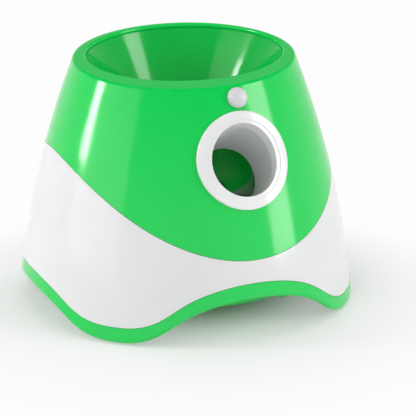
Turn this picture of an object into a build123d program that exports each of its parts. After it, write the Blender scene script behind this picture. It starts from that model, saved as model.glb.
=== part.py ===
from build123d import *
import os
from math import acos, atan, atan2, cos, degrees, floor, hypot, pi, radians, sin, sqrt, tan

# Automatic ball launcher for dogs.
# +Z is up, -Y is the side that the ball leaves from, and the origin lies on the
# surface that the launcher stands on, on the axis of its round body.  Millimetres.

# ---------------------------------------------------------------- the ball
ball_diameter = 50.8

# ---------------------------------------------------------------- round body
# The outline of the body is one cubic curve, from the floor up to profile_height.
# These are the radii of its four control points, evenly spaced in height.
base_radius = 144.8
lower_radius = 135.7
upper_radius = 113.5
crown_radius = 76.0
profile_height = 240.0
wall = 3.0
seam_gap = 0.4
seat_gap = 0.3
tongue_thickness = 1.6
tongue_height = 5.0

# ---------------------------------------------------------------- rim and hopper
rim_height = 206.7
rim_fall_to_front = 10.2
rim_fall_to_left = 5.1
lip_thickness = 3.4
lip_outer_round = 2.4
lip_inner_round = 1.6
mouth_half_width = 82.0
mouth_half_depth = 79.0
hopper_wall = 2.5
hopper_waist_radius = 63.0
hopper_waist_height = 172.0
throat_x = 26.0
throat_y = -20.0
throat_radius = 28.0
throat_height = 150.0
throat_collar = 6.0

# ---------------------------------------------------------------- colour split line
# Seen from the front the split rises like a bowl, and it climbs a little to the back.
split_low = 72.7
split_high = 134.3
split_climb = 0.074

# ---------------------------------------------------------------- foot band and base
front_arch_height = 32.5
side_arch_height = 25.0
arch_fullness = 0.58
band_height = 11.9
band_round = 2.5
band_wall = 5.0
foot_lift = 1.2
foot_flat = 4.0
foot_radius = 133.0
foot_boss_radius = 8.0
pad_radius = 5.8
pad_depth = 2.5
pan_floor = 18.0
pan_wall = 2.5
pan_floor_radius = 106.0
pan_rim_height = 50.0

# ---------------------------------------------------------------- case screws
screw_ring_radius = 107.0
screw_first_angle = 22.5
screw_count = 4
screw_radius = 1.9
screw_head_radius = 3.6
screw_head_height = 2.4
screw_length = 26.0
screw_seat_height = 20.0
boss_radius = 6.5
post_radius = 5.0
post_foot_height = 30.0
post_height = 34.0
pilot_clearance = 0.05
head_clearance = 0.4
rib_thickness = 2.5

# ---------------------------------------------------------------- launch barrel
exit_height = 135.2
launch_angle = 33.0
bore_radius = 26.6
barrel_wall = 2.6
barrel_length = 105.0
barrel_end_thickness = 3.0
barrel_mouth_inset = 8.0
barrel_flange_width = 92.0
barrel_flange_height = 64.0
barrel_flange_corner = 10.0
barrel_flange_thickness = 2.5
barrel_screw_angle = 19.0
barrel_screw_drop = 24.0
barrel_screw_radius = 1.2
barrel_screw_head_radius = 2.5
barrel_screw_head_height = 1.8
barrel_screw_depth = 4.0
barrel_boss_radius = 3.6
ball_rest = 55.0

# ---------------------------------------------------------------- exit bezel
bezel_radius = 37.2
bezel_proud = 2.2
bezel_sleeve_radius = 32.7
bezel_round = 1.2
bezel_step_radius = 30.4
bezel_step_depth = 0.7

# ---------------------------------------------------------------- feed chute
chute_radius = 28.0
chute_wall = 2.5
chute_slope = 13.0
guide_thickness = 1.3
guide_start = 18.0
guide_turn = 110.0
guide_half_angle = 55.0

# ---------------------------------------------------------------- motion sensor
lens_height = 179.9
lens_radius = 8.0
lens_wall = 1.3
lens_flange_radius = 10.5
lens_flange_thickness = 1.5
lens_sink = 0.8
sensor_board_width = 26.0
sensor_board_height = 16.0
sensor_board_drop = 3.0
sensor_base_thickness = 0.6
board_thickness = 1.6
sensor_can_radius = 4.6
sensor_can_height = 4.2

# ---------------------------------------------------------------- plunger
# Stations of the plunger are those with the spring let go; it is built drawn back.
head_radius = 23.0
head_tip = 42.0
head_crown = 9.0
head_length = 20.0
head_wall = 3.0
rod_half_width = 4.5
rod_half_height = 4.4
rod_end = 134.0
rod_clearance = 0.3
spring_mean_radius = 11.5
spring_wire_radius = 0.9
spring_turns = 5
rod_guide_start = 119.0
rod_guide_length = 14.0
rod_guide_base = 5.0
rod_guide_cheek = 4.0

# ---------------------------------------------------------------- gears
gear_module = 1.0
tooth_addendum = 0.8
tooth_dedendum = 1.15
tooth_backlash = 0.24
pressure_angle = 20.0
winding_teeth = 40
sector_circle_teeth = 32
sector_teeth = 13
pinion_teeth = 12
wheel_teeth = 36
motor_teeth = 10
winding_reach = 128.0
rack_pitch_offset = 5.5
second_step_angle = 0.0
first_step_angle = 24.6
motor_step_angle = 23.0
gear_face = 6.0
layer_gap = 1.0
sector_face = 9.0
shaft_radius = 2.0
shaft_clearance = 0.06
hub_radius = 4.0

# ---------------------------------------------------------------- gearbox frame
plate_gap = 15.0
plate_thickness = 2.5
spacer_radius = 3.5
leg_width = 10.0
leg_height = 42.0
plate_margin = 8.0
cradle_reach = 84.0
cradle_width = 22.0
cradle_depth = 9.0
cradle_web = 3.0

# ---------------------------------------------------------------- motor
motor_radius = 12.0
motor_length = 31.0
motor_shaft_radius = 1.0
motor_boss_radius = 4.0
motor_boss_height = 1.8
motor_round = 1.0

# ---------------------------------------------------------------- batteries
cell_radius = 13.1
cell_length = 48.0
cell_nub_radius = 3.0
cell_nub_height = 2.0
cell_clearance = 0.6
contact_room = 4.0
door_ledge = 1.0
cell_rows = 2
cells_per_row = 2
bay_centre_x = -58.0
bay_wall = 1.8
door_clearance = 0.4
door_pin_radius = 0.7
door_pin_length = 1.6
door_grip_width = 1.2
door_grip_depth = 0.8
contact_thickness = 0.5
contact_width = 14.0

# ---------------------------------------------------------------- rear controls
panel_height = 64.0
panel_half_width = 36.0
panel_half_height = 12.0
panel_thickness = 2.6
panel_recess = 0.6
panel_clearance = 0.25
button_radius = 6.0
button_clearance = 0.3
button_proud = 1.4
button_flange = 1.2
button_stem_length = 7.0
button_travel = 1.2
power_button_x = 22.0
distance_button_x = 4.0
lens_pitch = 6.0
lamp_radius = 1.5
lamp_proud = 0.4
lamp_x = -10.0
jack_x = -26.0
jack_radius = 4.0
jack_bore_radius = 2.8
jack_pin_radius = 0.65
jack_length = 12.0
jack_floor = 2.0
board_setback = 6.0
board_edge = 4.0

# ---------------------------------------------------------------- boards
main_board_width = 46.0
main_board_length = 62.0
main_board_x = 66.0
main_board_y = 10.0
standoff_height = 8.0
standoff_radius = 3.0
chip_size = 9.0
chip_height = 2.0
driver_width = 7.0
driver_length = 12.0
driver_height = 5.0
capacitor_radius = 4.0
capacitor_height = 11.0
buzzer_radius = 6.0
buzzer_height = 7.0
buzzer_vent = 1.2

far = 2 * base_radius


# ---------------------------------------------------------------- the round body
def radius_at(z):
    """Outer radius of the body at height z."""
    t = z / profile_height
    s = 1 - t
    return (base_radius * s**3 + 3 * lower_radius * t * s**2
            + 3 * upper_radius * t**2 * s + crown_radius * t**3)


def lean_at(z):
    """How far the wall leans back from upright at height z, in degrees."""
    return degrees(atan(radius_at(z - 0.5) - radius_at(z + 0.5)))


def body(inset=0.0):
    """The whole round body as one solid, its side moved in by inset."""
    third = profile_height / 3
    side = Bezier((base_radius - inset, 0), (lower_radius - inset, third),
                  (upper_radius - inset, 2 * third), (crown_radius - inset, profile_height))
    top = Line(side @ 1, (0, profile_height))
    axis = Line((0, profile_height), (0, 0))
    floor_line = Line((0, 0), side @ 0)
    return revolve(Plane.XZ * make_face([side, top, axis, floor_line]), Axis.Z)


def shell(outer_inset, inner_inset):
    """A skin of the body between two insets."""
    return body(outer_inset) - body(inner_inset)


def wall_frame(z, inset=0.0):
    """A plane on the front of the body at height z, with its normal straight out."""
    lean = radians(lean_at(z))
    return Plane(origin=(0, -(radius_at(z) - inset), z), x_dir=(1, 0, 0),
                 z_dir=(0, -cos(lean), sin(lean)))


# ---------------------------------------------------------------- rim plane
rim_plane = Plane(origin=(0, 0, rim_height),
                  x_dir=(1, 0, tan(radians(rim_fall_to_left))),
                  z_dir=(-tan(radians(rim_fall_to_left)), -tan(radians(rim_fall_to_front)), 1))


def below_rim(depth=0.0):
    """Everything more than depth below the rim plane."""
    return rim_plane * Pos(0, 0, -depth - far / 2) * Box(2 * far, 2 * far, far)


def on_rim(edge):
    """Whether an edge lies in the rim plane."""
    heights = [rim_plane.to_local_coords(edge @ share).Z for share in (0, 0.25, 0.5)]
    return max(abs(height) for height in heights) < seat_gap / 10


def mouth(grow=0.0):
    """Outline of the mouth of the hopper, in the rim plane."""
    return Ellipse(mouth_half_width + grow, mouth_half_depth + grow)


# ---------------------------------------------------------------- split and arches
def above_split(shift=0.0):
    """Everything above the colour split line, moved up by shift."""
    points = []
    for step in range(-3, 4):
        share = sin(radians(30 * step)) ** 2
        height = split_low + (split_high - split_low) * share
        points.append((radius_at(height) * sin(radians(30 * step)), height + shift))
    line = Spline(*points)
    end_slope = (line % 1).Y / (line % 1).X
    right = Vector(far, (line @ 1).Y + end_slope * (far - (line @ 1).X))
    left = Vector(-far, right.Y)
    top = profile_height + far
    face = make_face([line, Line(line @ 1, right), Line(right, (far, top)),
                      Line((far, top), (-far, top)), Line((-far, top), left),
                      Line(left, line @ 0)])
    slab = Plane.XZ * face
    step = Vector(0, 1, split_climb)
    return extrude(slab, 2 * far, dir=step).moved(Location(-step * far))


def arch_tunnel(height, rise):
    """An arched passage from front to back under the body, its top moved up by rise."""
    half = radius_at(0) * sin(radians(45)) - foot_flat
    mid = radius_at(0) * sin(radians(22.5))
    base = foot_lift + rise
    top = base + height
    shoulder = base + height * arch_fullness
    line = Spline((-half, base), (-mid, shoulder), (0, top), (mid, shoulder), (half, base),
                  tangents=[(1, 0), (1, 0)])
    face = make_face([line, Line((half, base), (half, -far)), Line((half, -far), (-half, -far)),
                      Line((-half, -far), (-half, base))])
    return extrude(Plane.XZ * face, far, both=True)


def above_band(piece, rise=0.0):
    """What is left of a piece above the foot band's upper edge, or its lower edge with rise 0."""
    base = foot_lift + rise
    piece -= Pos(0, 0, base - far / 2) * Box(2 * far, 2 * far, far)
    piece -= arch_tunnel(front_arch_height, rise)
    return piece - Rot(0, 0, 90) * arch_tunnel(side_arch_height, rise)


# ---------------------------------------------------------------- launch line
# Stations along the launch line are counted from the middle of the exit, inwards.
launch_dir = Vector(0, cos(radians(launch_angle)), -sin(radians(launch_angle)))
launch_up = Vector(0, sin(radians(launch_angle)), cos(radians(launch_angle)))
exit_point = Vector(0, -radius_at(exit_height), exit_height)
bezel_frame = wall_frame(exit_height)


def launch_point(reach, lift=0.0):
    """A point in the middle plane, reach along the launch line and lift above it."""
    return exit_point + launch_dir * reach + launch_up * lift


def launch_frame(reach, lift=0.0):
    """A plane square to the launch line whose normal points inwards and down."""
    return Plane(origin=launch_point(reach, lift), x_dir=(1, 0, 0), z_dir=launch_dir)


def launch_rod(radius, start, end):
    """A round bar along the launch line."""
    return launch_frame(start) * extrude(Circle(radius), end - start)


def bezel_rod(radius, depth, front):
    """A round bar square to the wall at the exit."""
    return bezel_frame * Pos(0, 0, -depth) * extrude(Circle(radius), depth + front)


rest_point = launch_point(ball_rest)
throat_run = hypot(throat_x - rest_point.X, throat_y - rest_point.Y)
drop_point = Vector(throat_x, throat_y, rest_point.Z + throat_run * tan(radians(chute_slope)))
feed_dir = (rest_point - drop_point).normalized()
feed_length = (rest_point - drop_point).length


def feed_passage(radius, top):
    """The way of the ball from the throat down and forwards into the barrel."""
    drop = Pos(drop_point) * extrude(Circle(radius), top - drop_point.Z)
    bend = Pos(drop_point) * Sphere(radius)
    run = Plane(origin=drop_point, z_dir=feed_dir) * extrude(Circle(radius), feed_length)
    return drop + bend + run


# ---------------------------------------------------------------- shells
def make_top_shell():
    """Green upper shell: side wall, rolled lip and the tongue that enters the lower shell."""
    piece = body() & below_rim() & above_split(seam_gap / 2)
    piece -= body(wall) & below_rim(lip_thickness)
    piece -= rim_plane * extrude(mouth(), lip_thickness, both=True)
    piece = fillet(piece.edges().filter_by(on_rim).sort_by(SortBy.LENGTH)[-1], lip_outer_round)
    piece = fillet(piece.edges().filter_by(on_rim).sort_by(SortBy.LENGTH)[0], lip_inner_round)
    tongue_root = shell(wall, wall + seat_gap + tongue_thickness)
    tongue_root = tongue_root & above_split(seam_gap / 2) - above_split(tongue_height)
    tongue = shell(wall + seat_gap, wall + seat_gap + tongue_thickness)
    tongue = tongue & above_split(-tongue_height) - above_split(seam_gap)
    piece += tongue_root + tongue
    piece -= bezel_rod(bezel_sleeve_radius + seat_gap, far / 4, far / 4)
    piece -= lens_bar(lens_radius + seat_gap / 2)
    boss = Pos(0, 0, -barrel_mouth_inset) * extrude(Circle(barrel_boss_radius), barrel_mouth_inset)
    skin = shell(wall / 2, barrel_mouth_inset - pilot_clearance)
    pilot = Pos(0, 0, -barrel_mouth_inset) * extrude(
        Circle(barrel_screw_radius + pilot_clearance), barrel_mouth_inset - wall / 2)
    for frame in barrel_screw_frames():
        piece += frame * boss & skin
    for frame in barrel_screw_frames():
        piece -= frame * pilot
    return piece


def barrel_screw_frames():
    """Frames on the wall, normal outwards, at the four screws of the barrel flange."""
    frames = []
    for side in (-1, 1):
        for drop in (-1, 1):
            turn = Location((0, 0, 0), (0, 0, side * barrel_screw_angle))
            frames.append(turn * wall_frame(exit_height + drop * barrel_screw_drop).location)
    return frames


def make_hopper_bowl():
    """Green funnel under the lip, steep above the waist and leading to an offset throat."""
    top = rim_plane.offset(-lip_thickness - seat_gap)
    waist = Plane.XY.offset(hopper_waist_height)
    outlet = Plane(origin=(throat_x, throat_y, throat_height))
    collar_foot = throat_height - throat_collar

    def funnel(grow, throat_grow):
        upper = loft([top * mouth(grow), waist * Circle(hopper_waist_radius + grow)], ruled=True)
        lower = loft([waist * Circle(hopper_waist_radius + grow),
                      outlet * Circle(throat_radius + throat_grow)], ruled=True)
        drop = Pos(throat_x, throat_y, collar_foot) * extrude(
            Circle(throat_radius + throat_grow), throat_collar)
        return upper + lower + drop

    return funnel(hopper_wall, hopper_wall) - funnel(0, 0)


def make_lower_shell():
    """White lower shell, with the screw posts and the opening for the rear controls."""
    piece = above_band(shell(0, wall) - above_split(-seam_gap / 2), band_height + seam_gap)
    post = Pos(screw_ring_radius, 0, post_foot_height) * extrude(Circle(post_radius), post_height)
    reach = radius_at(post_foot_height) - screw_ring_radius
    rib_height = post_foot_height + post_height - pan_rim_height - rib_thickness
    rib = Pos(screw_ring_radius + reach / 2, 0, pan_rim_height + rib_thickness + rib_height / 2)
    rib = rib * Box(reach, rib_thickness, rib_height)
    post += rib & body(wall / 2)
    post -= Pos(screw_ring_radius, 0, post_foot_height) * extrude(
        Circle(screw_radius + pilot_clearance), post_height - wall)
    for angle in screw_angles():
        piece += Rot(0, 0, angle) * post
    piece -= panel_prism(panel_clearance)
    return piece


def screw_angles():
    """Where the case screws stand round the body."""
    return [screw_first_angle + 360 / screw_count * turn for turn in range(screw_count)]


def foot_angles():
    """Where the feet stand round the body."""
    return [45 + 90 * turn for turn in range(4)]


def on_lower_edge(edge):
    """Whether an edge of the foot band is part of its lower outer edge."""
    points = [edge @ share for share in (0, 0.25, 0.5, 0.75, 1)]
    gap = max(abs(hypot(point.X, point.Y) - radius_at(point.Z)) for point in points)
    return gap < seat_gap / 10 and min(point.Z for point in points) < foot_lift + band_height / 2


def make_base_band():
    """Green foot band: four arches, four feet and a tongue up into the lower shell."""
    ring = shell(0, band_wall)
    band = ring - above_band(ring, band_height)
    boss = Pos(foot_radius, 0, 0) * extrude(Circle(foot_boss_radius), foot_lift + band_height)
    for angle in foot_angles():
        band += Rot(0, 0, angle) * boss & body()
    band = above_band(band)
    band = fillet([edge for edge in band.edges() if on_lower_edge(edge)], band_round)
    tongue = above_band(ring, band_height - wall) - above_band(ring, band_height + tongue_height)
    band += tongue & body(wall + seat_gap)
    for angle in foot_angles():
        band -= Rot(0, 0, angle) * Pos(foot_radius, 0, 0) * extrude(
            Circle(pad_radius + pilot_clearance), foot_lift + pad_depth)
    return band


def make_foot_pads():
    """Four rubber pads let into the feet."""
    pad = Pos(foot_radius, 0, 0) * extrude(Circle(pad_radius), foot_lift + pad_depth)
    pad = chamfer(pad.edges().group_by(Axis.Z)[0], foot_lift / 3)
    return Compound(children=[Rot(0, 0, angle) * pad for angle in foot_angles()])


def pan_profile(inset):
    """Revolved outline of the base pan, moved in by inset."""
    rim = radius_at(pan_rim_height) - band_wall - seat_gap - inset
    slope_run = rim - pan_floor_radius
    line = Polyline((0, pan_floor + inset), (pan_floor_radius - inset / 2, pan_floor + inset),
                    (pan_floor_radius - inset / 2 + slope_run, pan_rim_height),
                    (0, pan_rim_height), (0, pan_floor + inset))
    return revolve(Plane.XZ * make_face(line), Axis.Z)


def make_base_pan():
    """Bottom cover: dished floor with screw bosses, board standoffs and the battery bay."""
    piece = pan_profile(0) - pan_profile(pan_wall)
    boss = Pos(screw_ring_radius, 0, screw_seat_height) * extrude(
        Circle(boss_radius), post_foot_height - seat_gap - screw_seat_height)
    sleeve = Pos(screw_ring_radius, 0, pan_floor) * extrude(
        Circle(boss_radius), screw_seat_height - pan_floor)
    well = Pos(screw_ring_radius, 0, 0) * extrude(
        Circle(screw_head_radius + head_clearance), screw_seat_height)
    hole = Pos(screw_ring_radius, 0, 0) * extrude(
        Circle(screw_radius + head_clearance), post_foot_height)
    for angle in screw_angles():
        piece += Rot(0, 0, angle) * (boss + sleeve)
    for angle in screw_angles():
        piece -= Rot(0, 0, angle) * (well + hole)
    for spot in standoff_spots():
        piece += Pos(spot.X, spot.Y, pan_floor + pan_wall / 2) * extrude(
            Circle(standoff_radius), standoff_height + pan_wall / 2)
    return piece + battery_bay_walls() - battery_bay_space()


def make_case_screws():
    """The screws that hold the base pan to the posts of the lower shell."""
    head = Pos(screw_ring_radius, 0, screw_seat_height - screw_head_height) * extrude(
        Circle(screw_head_radius), screw_head_height)
    shank = Pos(screw_ring_radius, 0, screw_seat_height) * extrude(
        Circle(screw_radius), screw_length)
    return Compound(children=[Rot(0, 0, angle) * (head + shank) for angle in screw_angles()])


# ---------------------------------------------------------------- exit and barrel
def make_exit_bezel():
    """White ring that follows the wall round the exit, with a stepped inner lip."""
    ring = shell(-bezel_proud, 0) & bezel_rod(bezel_radius, far / 8, far / 8)
    sleeve = shell(-bezel_proud / 2, barrel_mouth_inset - seat_gap)
    sleeve = sleeve & bezel_rod(bezel_sleeve_radius, far / 8, far / 8)
    step = shell(-2 * bezel_proud, bezel_step_depth - bezel_proud)
    step = step & bezel_rod(bezel_step_radius, far / 8, far / 8)
    ring = fillet(ring.edges().sort_by(SortBy.LENGTH)[-2:].sort_by(Axis.Y)[0], bezel_round)
    return ring + sleeve - step - launch_rod(bore_radius, -far / 8, barrel_length)


def make_launch_barrel():
    """White launch tube with its mouth flange, the feed window and the closed lower end."""
    outer = bore_radius + barrel_wall
    tube = launch_rod(outer, -far / 8, barrel_length) & body(barrel_mouth_inset)
    flange = shell(barrel_mouth_inset, barrel_mouth_inset + barrel_flange_thickness)
    outline = RectangleRounded(barrel_flange_width, barrel_flange_height, barrel_flange_corner)
    tube += flange & bezel_frame * extrude(outline, far / 8, both=True)
    for frame in barrel_screw_frames():
        tube -= frame * extrude(Circle(barrel_screw_radius + head_clearance), far / 16, both=True)
    tube -= launch_rod(bore_radius, -far / 8, barrel_length - barrel_end_thickness)
    tube -= feed_passage(chute_radius, drop_point.Z + chute_radius)
    return tube - rod_slot(rod_clearance)


def make_barrel_screws():
    """Four screws that hold the barrel flange to the upper shell."""
    back = barrel_mouth_inset + barrel_flange_thickness
    screws = []
    for frame in barrel_screw_frames():
        seat = back * cos(radians(lean_at(frame.position.Z))) + pilot_clearance
        head = Pos(0, 0, -seat - barrel_screw_head_height) * extrude(
            Circle(barrel_screw_head_radius), barrel_screw_head_height)
        shank = Pos(0, 0, -seat) * extrude(Circle(barrel_screw_radius), seat - barrel_screw_depth)
        screws.append(frame * (head + shank))
    return Compound(children=screws)


def rod_slot(clearance):
    """The slot in the barrel's lower end for the plunger rod and its rack."""
    top = rack_pitch_offset + tooth_addendum * gear_module + clearance
    bottom = -rod_half_height - clearance
    section = Pos(0, (top + bottom) / 2) * Rectangle(
        2 * (rod_half_width + clearance), top - bottom)
    frame = Plane(origin=launch_point(barrel_length - 2 * barrel_end_thickness),
                  x_dir=(-1, 0, 0), z_dir=launch_dir)
    return frame * extrude(section, 4 * barrel_end_thickness)


def make_feed_chute():
    """Green elbow from the hopper's throat to the barrel."""
    top = throat_height - throat_collar - seat_gap
    piece = feed_passage(chute_radius + chute_wall, top)
    piece -= feed_passage(chute_radius, top + chute_radius)
    reach = Plane(origin=rest_point, z_dir=feed_dir) * extrude(
        Circle(2 * chute_radius), 2 * chute_radius)
    piece -= launch_rod(bore_radius + barrel_wall + seat_gap, -far / 8, barrel_length)
    return (piece - reach).solids().sort_by(SortBy.VOLUME)[-1]


def make_ball_guide():
    """Thin clear strip that lines the outer side of the chute where the ball turns in."""
    outer = chute_radius - pilot_clearance
    inner = chute_radius - guide_thickness
    frame = Plane(origin=drop_point, z_dir=feed_dir)
    strip = frame * Pos(0, 0, guide_start) * extrude(
        Circle(outer) - Circle(inner), feed_length - guide_start)
    reach = 2 * chute_radius
    wedge = Polyline((0, 0), (reach * cos(radians(guide_turn - guide_half_angle)),
                              reach * sin(radians(guide_turn - guide_half_angle))),
                     (reach * cos(radians(guide_turn)), reach * sin(radians(guide_turn))),
                     (reach * cos(radians(guide_turn + guide_half_angle)),
                      reach * sin(radians(guide_turn + guide_half_angle))), (0, 0))
    strip &= frame * extrude(make_face(wedge), feed_length)
    return strip - launch_rod(bore_radius + barrel_wall + seat_gap, -far / 8, barrel_length)


# ---------------------------------------------------------------- motion sensor
def lens_bar(radius):
    """A round bar through the wall where the sensor lens sits."""
    return wall_frame(lens_height) * extrude(Circle(radius), lens_flange_radius, both=True)


def make_sensor_lens():
    """Milky dome of the motion sensor, with its flange behind the wall."""
    frame = wall_frame(lens_height)
    flange_top = wall + 3 * seat_gap
    depth = flange_top + lens_flange_thickness
    dome = Pos(0, 0, -lens_sink) * Sphere(lens_radius)
    dome &= Pos(0, 0, lens_radius - lens_sink) * Box(4 * lens_radius, 4 * lens_radius, 2 * lens_radius)
    barrel = Pos(0, 0, -depth) * extrude(Circle(lens_radius), depth - lens_sink)
    flange = Pos(0, 0, -depth) * extrude(Circle(lens_flange_radius), lens_flange_thickness)
    flange = frame * flange & below_rim(lip_thickness + seat_gap)
    hollow = Pos(0, 0, -lens_sink) * Sphere(lens_radius - lens_wall)
    hollow += Pos(0, 0, -depth) * extrude(Circle(lens_radius - lens_wall), depth - lens_sink)
    return frame * (dome + barrel) + flange - frame * hollow


def sensor_depth():
    """How far behind the wall the face of the sensor board lies."""
    return wall + 3 * seat_gap + lens_flange_thickness + seat_gap


def make_sensor_board():
    """Small board that carries the heat sensor behind the lens."""
    board = Pos(0, -sensor_board_drop, -sensor_depth() - board_thickness / 2) * Box(
        sensor_board_width, sensor_board_height, board_thickness)
    return wall_frame(lens_height) * board


def make_sensor_can():
    """The heat sensor itself, a small metal can with a raised flange."""
    base = Pos(0, 0, -sensor_depth()) * extrude(Circle(sensor_can_radius), sensor_base_thickness)
    can = Pos(0, 0, -sensor_depth()) * extrude(
        Circle(sensor_can_radius - sensor_base_thickness), sensor_can_height)
    return wall_frame(lens_height) * (base + can)


# ---------------------------------------------------------------- plunger
def make_plunger_head():
    """Green striker: a domed cup that the spring pushes from inside."""
    start = head_crown
    profile = make_face([Line((0, 0), (0, head_length)), Line((0, head_length), (head_radius, head_length)),
                         Line((head_radius, head_length), (head_radius, start)),
                         Spline((head_radius, start), (0.72 * head_radius, 0.3 * start), (0, 0),
                                tangents=[(0, -1), (-1, 0)])])
    cup = make_face([Line((0, head_wall + start / 2), (0, head_length)),
                     Line((0, head_length), (head_radius - head_wall, head_length)),
                     Line((head_radius - head_wall, head_length),
                          (head_radius - head_wall, head_wall + start / 2)),
                     Line((head_radius - head_wall, head_wall + start / 2), (0, head_wall + start / 2))])
    solid = revolve(Plane.XZ * profile, Axis.Z) - revolve(Plane.XZ * cup, Axis.Z)
    return launch_frame(drawn_back(head_tip)) * solid


def rod_start():
    """Station where the rod begins, against the inside of the striker's crown."""
    return drawn_back(head_tip + head_wall + head_crown / 2)


def make_plunger_rod():
    """Rod of the plunger, a square bar with rack teeth along its upper side."""
    length = drawn_back(rod_end) - rod_start()
    root = rack_pitch_offset - tooth_dedendum * gear_module
    section = Pos(0, (root - rod_half_height) / 2) * Rectangle(
        2 * rod_half_width, root + rod_half_height)
    frame = Plane(origin=launch_point(rod_start()), x_dir=(-1, 0, 0), z_dir=launch_dir)
    bar = frame * extrude(section, length)
    pitch = pi * gear_module
    slope = tan(radians(pressure_angle)) * gear_module
    half = pitch / 4 - tooth_backlash / 2
    top = tooth_addendum * gear_module
    low = tooth_dedendum * gear_module
    tooth = Polyline((-half - low * slope, -low), (half + low * slope, -low),
                     (half - top * slope, top), (-half + top * slope, top),
                     (-half - low * slope, -low))
    # The tooth outline is drawn with the launch line along local x and lift along local y.
    side = Plane(origin=launch_point(0, rack_pitch_offset) - Vector(rod_half_width, 0, 0),
                 x_dir=launch_dir, z_dir=(1, 0, 0))
    last = floor((rod_end - winding_reach) / pitch)
    for index in range(-int(sector_stroke() / pitch) - 1, int(last)):
        station = drawn_back(winding_reach + pitch * (index + 0.5))
        bar += side * Pos(station, 0) * extrude(make_face(tooth), 2 * rod_half_width)
    return bar


def sector_stroke():
    """How far the sector pulls the rack in one turn."""
    return (sector_teeth - 1) * pi * gear_module


def drawn_back(station):
    """Where a station of the plunger lies with the spring wound."""
    return station + sector_stroke()


def make_rod_guide():
    """Channel under the rod, held between the gearbox plates where the sector pulls."""
    top = -rod_half_height - rod_clearance
    block = Pos(0, top - rod_guide_base / 2) * Rectangle(2 * plate_gap, rod_guide_base)
    cheek = rod_half_width + rod_clearance
    for side in (-1, 1):
        block += Pos(side * (cheek + rod_guide_cheek / 2), top - seat_gap) * Rectangle(
            rod_guide_cheek, 2 * rod_guide_cheek)
    frame = Plane(origin=launch_point(rod_guide_start), x_dir=(-1, 0, 0), z_dir=launch_dir)
    return frame * extrude(block, rod_guide_length)


def make_launch_spring():
    """Main spring, wound up between the striker's crown and the barrel's lower end."""
    start = rod_start() + spring_wire_radius + seat_gap
    end = barrel_length - barrel_end_thickness - spring_wire_radius - seat_gap
    pitch = (end - start) / spring_turns
    path = Helix(pitch, end - start, spring_mean_radius)
    profile = Plane(origin=path @ 0, z_dir=path % 0) * Circle(spring_wire_radius)
    return launch_frame(start) * sweep(profile, path=path)


# ---------------------------------------------------------------- gears
def tooth_outline(teeth):
    """One tooth of a spur gear on the +X side of its axis."""
    pitch_radius = teeth * gear_module / 2
    base = pitch_radius * cos(radians(pressure_angle))
    tip = pitch_radius + tooth_addendum * gear_module
    root = pitch_radius - tooth_dedendum * gear_module
    half_at_pitch = (pi * gear_module / 2 - tooth_backlash) / 2 / pitch_radius

    def involute(radius):
        angle = acos(min(1, base / radius))
        return tan(angle) - angle

    def corner(radius):
        turn = half_at_pitch + involute(pitch_radius) - involute(max(radius, base))
        return Vector(radius * cos(turn), radius * sin(turn))

    low = corner(max(root, base))
    foot = Vector(root * cos(atan2(low.Y, low.X)), root * sin(atan2(low.Y, low.X)))
    inside = Vector(foot.X - gear_module / 2, foot.Y)
    flank = [inside, foot, low, corner((low.length + tip) / 2), corner(tip)]
    if root >= base:
        flank.remove(low)
    mirrored = [Vector(point.X, -point.Y) for point in reversed(flank)]
    return make_face(Polyline(*flank, *mirrored, flank[0]))


def gear_blank(teeth, face, phase, count=None):
    """A gear about the local Z axis, with a tooth centred on the phase angle."""
    root = teeth * gear_module / 2 - tooth_dedendum * gear_module
    outline = tooth_outline(teeth)
    section = Circle(root)
    for index in range(count or teeth):
        section += Rot(0, 0, phase + 360 / teeth * index) * outline
    return extrude(section, face)


def axle_frame(centre, x):
    """A frame whose local Z runs along +X through a centre in the middle plane."""
    return Plane(origin=(x, centre.Y, centre.Z), x_dir=(0, 1, 0), z_dir=(1, 0, 0))


def step_from(centre, distance, angle):
    """The next axle, at an angle above the launch line's inward run."""
    along = launch_dir * cos(radians(angle)) + launch_up * sin(radians(angle))
    return centre + along * distance


def mesh_distance(first, second):
    """Centre distance of two meshing gears."""
    return (first + second) * gear_module / 2


def direction(start, end):
    """Angle of the line from one axle to the next, in the gears' own frame."""
    return degrees(atan2(end.Z - start.Z, end.Y - start.Y))


winding_axle = launch_point(winding_reach, rack_pitch_offset + sector_circle_teeth * gear_module / 2)
second_axle = step_from(winding_axle, mesh_distance(winding_teeth, pinion_teeth), second_step_angle)
first_axle = step_from(second_axle, mesh_distance(wheel_teeth, pinion_teeth), first_step_angle)
motor_axle = step_from(first_axle, mesh_distance(wheel_teeth, motor_teeth), motor_step_angle)

inner_face = plate_gap - layer_gap
left_layer = -inner_face
middle_layer = -sector_face / 2
right_layer = sector_face / 2 + layer_gap


def gap_phase(angle, teeth):
    """Phase that puts a tooth gap on the given angle."""
    return angle + 180 / teeth


def make_winding_gear():
    """Large wheel with the part-toothed sector that draws the rack back and lets it go."""
    to_second = direction(winding_axle, second_axle)
    wheel = gear_blank(winding_teeth, gear_face, to_second)
    frame = axle_frame(winding_axle, left_layer)
    piece = frame * wheel
    to_rack = degrees(atan2(-launch_up.Z, -launch_up.Y))
    sector = gear_blank(sector_circle_teeth, sector_face, to_rack, sector_teeth)
    piece += axle_frame(winding_axle, middle_layer) * sector
    hub_start = left_layer + gear_face
    piece += axle_frame(winding_axle, hub_start) * extrude(Circle(hub_radius), inner_face - hub_start)
    return piece - shaft_hole(winding_axle)


def shaft_hole(centre):
    """Running hole for a shaft."""
    return axle_frame(centre, -far / 4) * extrude(Circle(shaft_radius + shaft_clearance), far / 2)


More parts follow.
